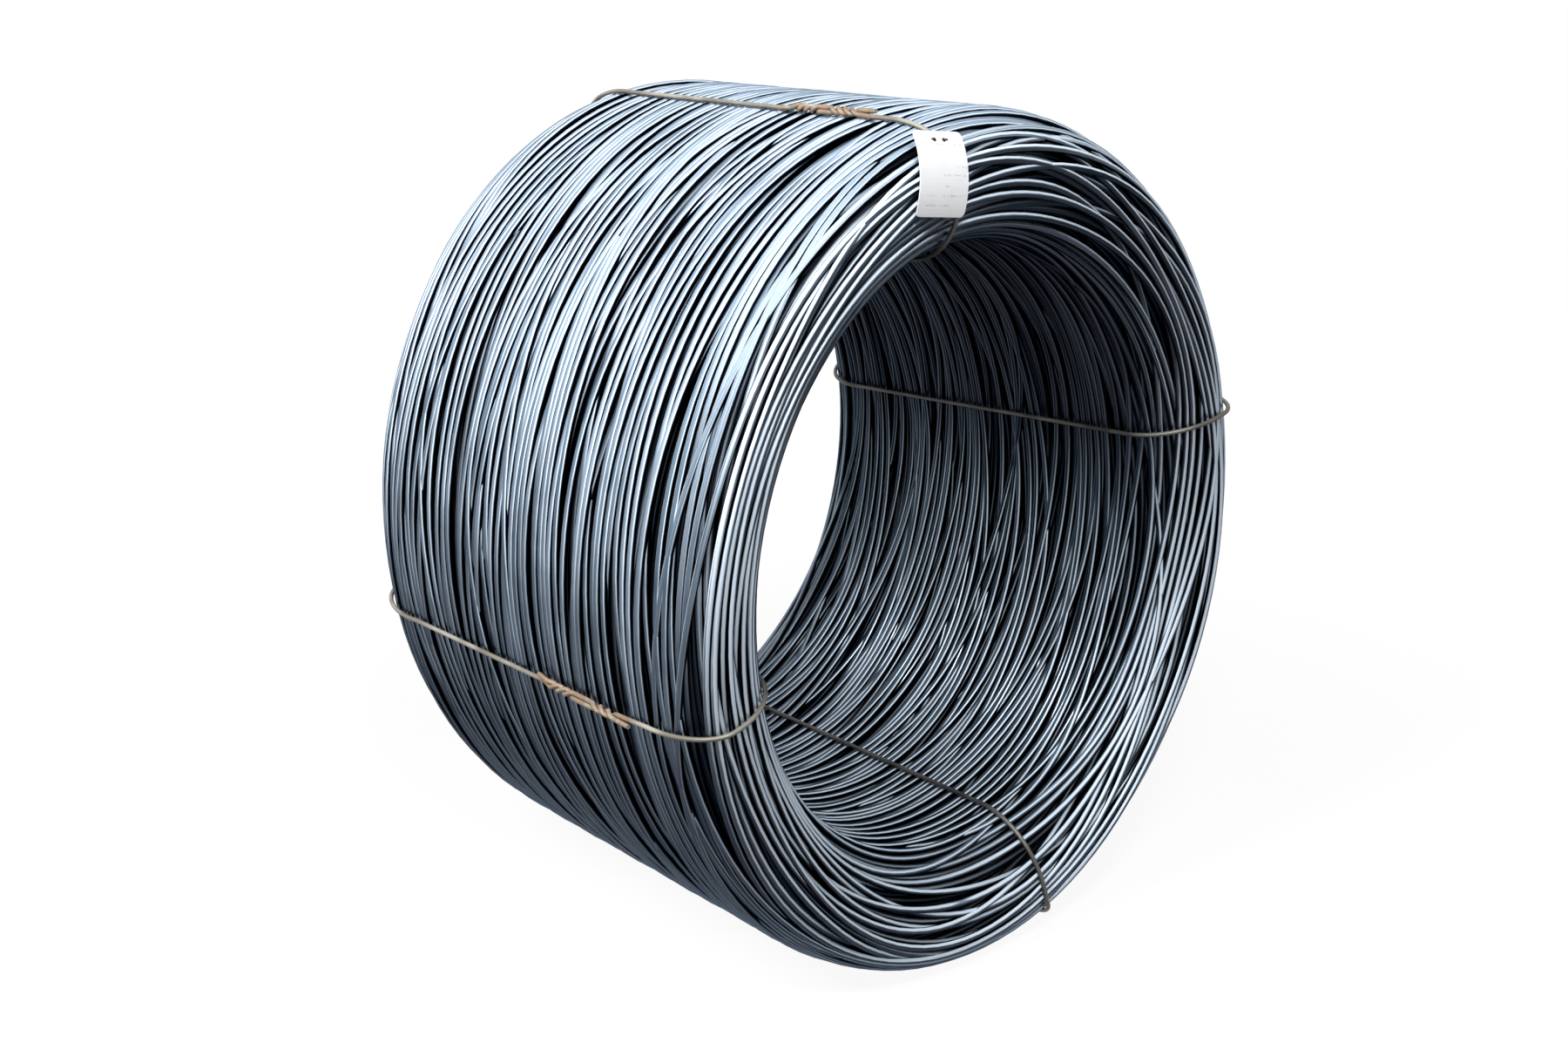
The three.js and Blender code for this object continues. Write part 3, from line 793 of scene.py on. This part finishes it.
def rod_finish():
    """Hot-rolled rod: blue-grey mill scale in long mottled runs; dust and a painted sky reflection
    where it faces up; painted highlights in lines; painted shade where it is buried, between its
    turns, on crowns, high in the bore and low outside; with two spots of rust on the front rim"""
    material, tree, skin, spot = new_finish(
        "mill_scale_rod", Specular_IOR_Level=0.2, Specular_Tint=(0.66, 0.78, 0.94),
    )
    mottle = use_group(tree, MOTTLE, Place=spot, Run=attribute(tree, "run"),
                       Long_Scale=ROD_STREAKS, Fine_Scale=FLECK_SCALE)
    dust = use_group(tree, DUST_AND_SHEEN, Place=spot)
    tone, round_wall, facing = mottle["Tone"], attribute(tree, "outer"), attribute(tree, "facing")

    def on_wall(stretch):
        return step_between(tree, round_wall, *stretch)

    def on_turn(stretch):
        return step_between(tree, facing, *stretch)

    # painted shade: darker scale on crowns, and high in the bore where turns face down
    crown = step_between(tree, calc(tree, "ABSOLUTE", round_wall), *ON_CROWN)
    under = product(tree, dust["Facing Down"], on_wall(IN_BORE))
    # painted shade low on the outside, where turns face down
    low = product(tree, dust["Facing Down"], on_wall(LOW_OUTSIDE))
    bare = blend(tree, largest(tree, crown, under), blend(tree, tone, *SCALE_TONES),
                 blend(tree, tone, *SHADED_TONES))
    bare = blend(tree, low, bare, blend(tree, tone, *LOW_SHADE_TONES))
    # dust and a painted sky reflection where turns face up: outside, on slopes and a little in the
    # bore
    slope = product(tree, on_wall(DUST_AND_SHEEN_ON_SLOPE), on_wall(SLOPE_TO_BORE), dust["Mask"])
    reach = largest(tree, on_wall(DUST_AND_SHEEN_OUTSIDE), on_wall(DUST_AND_SHEEN_IN_BORE), slope)
    dust_and_sheen_share = product(tree, dust["Mask"], reach)
    color = blend(tree, dust_and_sheen_share, bare, blend(tree, tone, *DUST_AND_SHEEN_TONES))

    # painted highlights along the shoulders of turns on the outside
    shoulder_highlight = product(tree, on_turn(SHOULDER_START), on_turn(SHOULDER_STOP),
                     step_between(tree, dust["Mask"], *SHOULDER_HIGHLIGHT_ON_SHEEN), on_wall(SHOULDER_HIGHLIGHT_OUTSIDE))
    # painted highlight on each turn's side that faces up, to the front and left, strongest on
    # crowns
    edge = step_between(tree, crown, *BRIGHT_EDGE)
    whole = calc(tree, "ADD", edge, BRIGHT_SOFTNESS)
    painted_highlight = product(tree, step_between(tree, attribute(tree, "lit"), edge, whole),
                          attribute(tree, "open"), on_wall(ON_CROWN))
    pale = largest(tree, shoulder_highlight, product(tree, on_turn(TOP_HIGHLIGHT), under), painted_highlight)
    color = blend(tree, pale, color, HIGHLIGHT_COLOR)

    # painted shade on deeper turns and on the sides of turns away from the painted highlight
    buried = step_between(tree, attribute(tree, "bury"), *BURIED)
    side = product(tree, on_turn(TURN_SIDE), calc(tree, "SUBTRACT", 1.0, painted_highlight))
    dark = largest(tree, buried, side)
    color = blend(tree, dark, color, GAP_SHADE_COLOR)

    spots = largest(tree, *(near(tree, spot, centre, RUST_SPOT) for centre in RUST_SPOTS))
    amount = product(tree, spots, SPOT_AMOUNT)
    rust = use_group(tree, RUST, Place=spot, Amount=amount, **SPOT_RUST)
    rusty = product(tree, rust["Mask"], calc(tree, "SUBTRACT", SPOT_COVER, dark))
    color = blend(tree, rusty, color, rust["Color"])

    bright = calc(tree, "SUBTRACT", 1.0, largest(tree, dust_and_sheen_share, pale))
    metal = step_between(tree, largest(tree, dark, bright), *METAL_SHARE)
    rough = calc(tree, "ADD", step_between(tree, tone, *SCALE_ROUGHNESS),
                 product(tree, dust_and_sheen_share, DUST_ROUGHNESS))
    fine = bumps(tree, mottle["Fleck"], strength=0.03, distance=0.0002)
    feed_named(tree, skin, Base_Color=color, Metallic=metal, Roughness=rough, Normal=fine)
    return material


# painted shade: near black
CORE_SHADE_TONES = ((0.008, 0.01, 0.014), (0.02, 0.025, 0.033))


def core_finish():
    """The turns deep inside, coloured near black as painted shade; they only show as darkness
    between the outer ones
    """
    material, tree, skin, spot = new_finish("buried_turns", Metallic=0.2, Roughness=0.8)
    mottle = use_group(tree, MOTTLE, Place=spot, Fine_Scale=FLECK_SCALE)
    feed_named(tree, skin, Base_Color=blend(tree, mottle["Fleck"], *CORE_SHADE_TONES))
    return material


WEATHERED_TONES = ((0.22, 0.20, 0.16), (0.48, 0.45, 0.38))
# painted shade: the wire in the bore and where it faces down
TIE_SHADE_TONES = ((0.035, 0.034, 0.034), (0.11, 0.105, 0.095))
TIE_DOWN_SHADE = 0.6  # painted shade where the wire faces down
SPLICE_COLOR, SPLICE_TINT = (0.31, 0.235, 0.165), 0.5
SPLICE_AMOUNT, SPLICE_COVER = 0.62, 0.85  # of its rust
SPLICE_RUST = dict(Patch_Scale=45.0, Deep=(0.10, 0.055, 0.030), Light=(0.38, 0.255, 0.17))
TIE_ROUGHNESS = (0.0, 1.0, 0.42, 0.62)  # from the plain wire to the splice


def tie_finish():
    """Annealed wire: pale khaki outside; dark grey in the bore and darker where it faces down,
    both painted shade; brown with rust at the splice
    """
    material, tree, skin, spot = new_finish("annealed_tie_wire", Metallic=0.25)
    mottle = use_group(tree, MOTTLE, Place=spot, Run=attribute(tree, "run"),
                       Long_Scale=TIE_STREAKS, Fine_Scale=FLECK_SCALE)
    dust = use_group(tree, DUST_AND_SHEEN, Place=spot)
    tone, splice = mottle["Tone"], attribute(tree, "rust")
    faces_down_shade = product(tree, dust["Facing Down"], TIE_DOWN_SHADE)
    khaki_share = calc(tree, "SUBTRACT", attribute(tree, "pale"), faces_down_shade)
    color = blend(tree, khaki_share, blend(tree, tone, *TIE_SHADE_TONES),
                  blend(tree, tone, *WEATHERED_TONES))
    color = blend(tree, product(tree, splice, SPLICE_TINT), color, SPLICE_COLOR)
    amount = product(tree, splice, SPLICE_AMOUNT)
    rust = use_group(tree, RUST, Place=spot, Amount=amount, **SPLICE_RUST)
    color = blend(tree, product(tree, rust["Mask"], SPLICE_COVER), color, rust["Color"])
    rough = step_between(tree, splice, *TIE_ROUGHNESS)
    fine = bumps(tree, mottle["Fleck"], strength=0.2, distance=0.0005)
    feed_named(tree, skin, Base_Color=color, Roughness=rough, Normal=fine)
    return material


CLIP_TONES = ((0.02, 0.018, 0.016), (0.09, 0.08, 0.07))


def clip_finish():
    """Black annealed binding wire"""
    material, tree, skin, spot = new_finish("black_binding_wire", Metallic=0.4, Roughness=0.5)
    mottle = use_group(tree, MOTTLE, Place=spot, Fine_Scale=CLIP_FLECK_SCALE)
    feed_named(tree, skin, Base_Color=blend(tree, mottle["Fleck"], *CLIP_TONES))
    return material


# Where the tag touches the top tie wire, and how it hangs there, as in the solids
TAG_CONTACT = math.radians(80)
TAG_LEAN = math.radians(16)
TAG_ASIDE, TAG_HANG = -0.017, 0.034
MILLIMETRE = 0.001
# Rows of faint marks on it: how far down, and from where to where across, in millimetres
TAG_ROWS = ((-27, -31, 36), (4, 20, 40), (15, -1, 36), (29, 2, 13), (41, -3, 38), (41, -28, -14),
            (53, -5, 13), (53, -28, -8))
ROW_HEIGHT = 3.2
ROW_END = 1.0  # over which a row fades out
MARK_WIDTH = 2.6
MARK_BREAKS = (0.42, 0.60, 0.0, 0.55)
HOLE_ASIDE, HOLE_RISE = 8.0, 33.5  # the middle of each hole, in millimetres
HOLE_RIM = (3.3, 2.5)  # painted shade over it, gone at the first radius and whole at the second
TAG_TONES = ((0.85, 0.855, 0.88), (0.78, 0.79, 0.825))
SMUDGE_SCALE, SMUDGES = 45.0, (0.5, 0.75, 0.0, 0.5)
DENT_SCALE = 55.0
MARK_COLOR = (0.42, 0.43, 0.48)
HOLE_SHADE_COLOR = (0.03, 0.03, 0.035)


def tag_directions():
    """The middle of the tag, and its directions: across, down and into it"""
    tie = TIES["tie_wire_top"]
    section = section_at(tie["outside"][0])
    outwards, along = section["outer_round"] + TIE_LIFT, SHOULDER_DEPTH + TIE_LIFT
    facing = section["out"] * math.cos(TAG_CONTACT) / outwards
    facing = facing - AXIS * math.sin(TAG_CONTACT) / along
    facing /= np.linalg.norm(facing)
    side = section["side"]
    across = side * math.cos(TAG_LEAN) - np.cross(facing, side) * math.sin(TAG_LEAN)
    down = np.cross(across, facing)
    radius = section["outside"] - section["outer_round"] + outwards * math.cos(TAG_CONTACT)
    touch = place(section, radius, -STRAIGHT / 2 - along * math.sin(TAG_CONTACT))
    shift = TAG_ASIDE / math.cos(TAG_LEAN) - TAG_HANG * math.tan(TAG_LEAN)
    return touch + across * shift, across, down, -facing


def on_the_tag(tree, spot):
    """Places on the tag in millimetres, and how far across and down they are"""
    middle, *directions = tag_directions()
    own, split = add_nodes(tree, "ShaderNodeMapping", "ShaderNodeSeparateXYZ")
    own.vector_type = "TEXTURE"
    turned = Matrix(directions).transposed().to_euler()
    feed_named(tree, own.inputs, Vector=spot, Location=middle, Rotation=turned,
               Scale=[MILLIMETRE] * 3)
    tree.links.new(own.outputs["Vector"], split.inputs[0])
    return own.outputs["Vector"], split.outputs["X"], split.outputs["Y"]


def faint_rows(tree, spot, across, down):
    """Rows of marks that are too worn to be anything"""
    marks = 0.0
    for row, left, right in TAG_ROWS:
        off = calc(tree, "ABSOLUTE", calc(tree, "SUBTRACT", down, row))
        reach = calc(tree, "ABSOLUTE", calc(tree, "SUBTRACT", across, (left + right) / 2))
        half = (right - left) / 2
        row_mask = product(tree, step_between(tree, off, ROW_HEIGHT / 2, ROW_HEIGHT / 4),
                           step_between(tree, reach, half + ROW_END, half))
        marks = largest(tree, row_mask, marks)
    broken = noise(tree, spot, 1 / MARK_WIDTH, detail=2.0)
    return product(tree, marks, step_between(tree, broken, *MARK_BREAKS))


def tag_finish():
    """White sheet, blank apart from soft smudges and rows of faint worn marks"""
    material, tree, skin, spot = new_finish(
        "blank_tag", Metallic=0.0, Roughness=0.5, Specular_IOR_Level=0.25,
    )
    smudge = step_between(tree, noise(tree, spot, SMUDGE_SCALE, detail=4.0), *SMUDGES)
    color = blend(tree, smudge, *TAG_TONES)
    own, across, down = on_the_tag(tree, spot)
    color = blend(tree, faint_rows(tree, own, across, down), color, MARK_COLOR)
    # painted shade over each hole
    off_hole = calc(tree, "SUBTRACT", calc(tree, "ABSOLUTE", across), HOLE_ASIDE)
    below = calc(tree, "ADD", down, HOLE_RISE)
    squares = calc(tree, "ADD", product(tree, off_hole, off_hole), product(tree, below, below))
    rim = step_between(tree, calc(tree, "SQRT", squares), *HOLE_RIM)
    color = blend(tree, rim, color, HOLE_SHADE_COLOR)
    dents = bumps(tree, noise(tree, spot, DENT_SCALE, detail=2.0), strength=0.25, distance=0.0012)
    feed_named(tree, skin, Base_Color=color, Normal=dents)
    return material


def dress(node, finish):
    """Gives a carried node its finish"""
    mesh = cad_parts[node].data
    mesh.materials.clear()
    mesh.materials.append(finish)


# ------------------------------------------------------------------ the coil itself

TOP_SIDES, DEEP_SIDES = 8, 5  # of the rod's section
CORE_DEPTH = 0.030  # below the surface, and above the floor
CORE_STEPS = 72  # round the coil
CORE_POINTS = 6  # in each quarter of its section


def rod_pieces():
    """The rod's stretches, each a piece small enough: deep turns, then two halves a layer"""
    points, out, run, starts = wind_the_rod()
    finish = rod_finish()
    halves = []
    for layer in range(1, LAYERS):
        first, last = starts[layer], starts[layer + 1]
        halves.append((first, (first + last) // 2, last))
    stretches = [("rod_deep_turns", 0, starts[1], DEEP_SIDES)]
    for name, (first, middle, last) in zip(("middle", "top"), halves):
        stretches.append((f"rod_{name}_turns_bore", first, middle, TOP_SIDES))
        stretches.append((f"rod_{name}_turns_outside", middle, last, TOP_SIDES))
    made = []
    for name, first, last, sides in stretches:
        part = slice(first * SLICES, min(last * SLICES + 1, len(points)))
        piece = sweep(name, points[part], out[part], ROD_SHOWN, sides, finish, dict(run=run[part]))
        mark_exposure(piece)
        made.append(piece)
    return made


def coil_core():
    """What fills the wall under the modelled turns"""
    outline = wall_outline(CORE_POINTS)
    depth, out = below_surface(outline, np.ones(len(outline)))
    outline = outline + out * (depth - CORE_DEPTH)[:, None]
    angle = 2 * math.pi * np.arange(CORE_STEPS) / CORE_STEPS
    way, stretch = oval_reach(angle)
    rings = (
        MIDDLE + way[:, None] * stretch[:, None, None] * outline[None, :, :1]
        + AXIS * outline[None, :, 1:]
    )
    rings[..., 2] = np.maximum(rings[..., 2], CORE_DEPTH)
    across = len(outline)
    faces = []
    for i in range(CORE_STEPS):
        for j in range(across):
            k, m = (i + 1) % CORE_STEPS, (j + 1) % across
            faces.append((i * across + j, i * across + m, k * across + m, k * across + j))
    mesh = bpy.data.meshes.new("rod_core")
    mesh.from_pydata(rings.reshape(-1, 3).tolist(), [], faces)
    mesh.materials.append(core_finish())
    return new_object("rod_core", mesh)


coil = rod_pieces() + [coil_core()]
for piece in coil:
    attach(piece, "root")
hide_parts("rod_coil")

# ------------------------------------------------------------------ the tie wires

TIE_SIDES = 10
CORNER_STEPS = 16  # in each of the two quarter turns over an end
RUN_STEPS = 14  # along the outside and through the bore
SHORT_RUN_STEPS = 4  # ahead of the splice
TAIL_FRONT, TAIL_BACK = 0.034, 0.024  # of each strand's end, past the twists
FLARE_FRONT, FLARE_BACK = 0.1, 1.5  # by how much more than in the twists their tips stand off
TWIST_STEP = 0.0017  # between stations of the twisted strands
TWIST_EASE = 7  # stations over which the twisting starts and stops
SPLICE_RISE = 0.040  # over which the wire climbs to its splice


def outside_at(tie, along):
    front, back = tie["outside"]
    return section_at(front + (back - front) * (along / COIL_LENGTH + 0.5))


def splice_strands(tie):
    """Two strands that are wound round each other, one way and then the other, as a tying
    machine leaves them; each runs on straight past the twists, to its own tip"""
    first, second = tie["twists"]
    wound = np.cumsum([TAIL_FRONT, first * tie["pitch"], tie["middle"], second * tie["pitch"]])
    length = wound[-1] + TAIL_BACK
    steps = int(length / TWIST_STEP)
    at = np.linspace(0, length, steps + 1)
    turned = np.interp(at, wound, [0, -first, -first, second - first])
    level = np.ones(TWIST_EASE) / TWIST_EASE
    turned = np.convolve(np.pad(turned, TWIST_EASE // 2, mode="edge"), level, "valid")
    apart = TIE_DIAMETER + STRAND_GAP
    front, back = [], []
    for run, turn in zip(at, turned):
        along = tie["start"] - COIL_LENGTH / 2 + run
        section = outside_at(tie, along)
        on_coil = section["outside"] + TIE_LIFT
        lying = place(section, on_coil, along)
        aside = tie["aside"] * (1 - 2 * run / length)
        angle = math.radians(tie["enters"]) + 2 * math.pi * turn
        across, up = apart / 2 * math.cos(angle), apart / 2 * math.sin(angle)
        before = smooth(1 - run / TAIL_FRONT)
        past = smooth((run - wound[-1]) / TAIL_BACK)
        for strand, sign, settles, flares in (
            (front, 1, before, FLARE_BACK * past), (back, -1, past, FLARE_FRONT * before),
        ):
            reach = sign * (1 + flares)
            spot = place(section, on_coil + apart / 2 + reach * up, along, aside + reach * across)
            strand.append(spot + (lying - spot) * settles)
    return front, back, length


def over_end(tie, end):
    """The way of a tie over one end of the wall, from outside to the bore"""
    way = []
    for share in np.linspace(0, 2, 2 * CORNER_STEPS + 1):
        outside, bore = tie["outside"][end], tie["bore"][end]
        section = section_at(outside + (bore - outside) * min(share, 1))
        crown = section["outside"] - section["outer_round"]
        across = section["outer_round"] if share < 1 else crown - section["bore"]
        angle = math.pi / 2 * share
        radius = crown + (across + TIE_LIFT) * math.cos(angle)
        along = STRAIGHT / 2 + (SHOULDER_DEPTH + TIE_LIFT) * math.sin(angle)
        way.append(place(section, radius, along if end else -along))
    return way


def tie_way(tie):
    """The whole wire, from one tip round the wall to the other; where it is rusty, and where
    it is pale, outside the bore; in the bore its finish darkens it as painted shade"""
    start = tie["start"] - COIL_LENGTH / 2
    front, back, length = splice_strands(tie)
    stop = start + length

    def on_coil(along):
        section = outside_at(tie, along)
        return place(section, section["outside"] + TIE_LIFT, along)

    behind = [on_coil(v) for v in np.linspace(stop + SPLICE_RISE, STRAIGHT / 2, RUN_STEPS)[:-1]]
    before = []
    if start - SPLICE_RISE > -STRAIGHT / 2:
        ahead = np.linspace(-STRAIGHT / 2, start - SPLICE_RISE, SHORT_RUN_STEPS)
        before = [on_coil(v) for v in ahead[1:]]
    bore_front, bore_back = over_end(tie, 0)[-1], over_end(tie, 1)[-1]
    bore_shares = np.linspace(0, 1, RUN_STEPS)[1:-1]
    through = [bore_back + (bore_front - bore_back) * share for share in bore_shares]
    back_end, front_end = over_end(tie, 1), over_end(tie, 0)[::-1]
    stretches = ((back, 1, 1), (behind, 0, 1), (back_end, 0, 1), (through, 0, 0),
                 (front_end, 0, 1), (before, 0, 1), (front, 1, 1))
    parts, rusty, light = zip(*stretches)
    lengths = [len(part) for part in parts]
    rust, pale = (np.repeat(shares, lengths).astype(float) for shares in (rusty, light))
    rust[[0, -1]] = 0
    for end, step in ((len(back) + len(behind), 1), (-len(front) - len(before) - 1, -1)):
        pale[end:end + step * len(back_end):step] = np.linspace(1, 0, len(back_end))
    return np.array([spot for part in parts for spot in part]), rust, pale


tie_wire = tie_finish()
for name, tie in TIES.items():
    way, rust, pale = tie_way(tie)
    run = np.r_[0, np.cumsum(np.linalg.norm(np.diff(way, axis=0), axis=1))]
    lean = np.tile(section_at(tie["outside"][0])["side"], (len(way), 1))
    wire = sweep(name + "_spliced", way, lean, TIE_DIAMETER, TIE_SIDES, tie_wire,
                 dict(run=run, rust=rust, pale=pale))
    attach(wire, "root")
    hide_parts(name)

# ------------------------------------------------------------------ the tag and its clip

dress("tag", tag_finish())
dress("tag_clip", clip_finish())
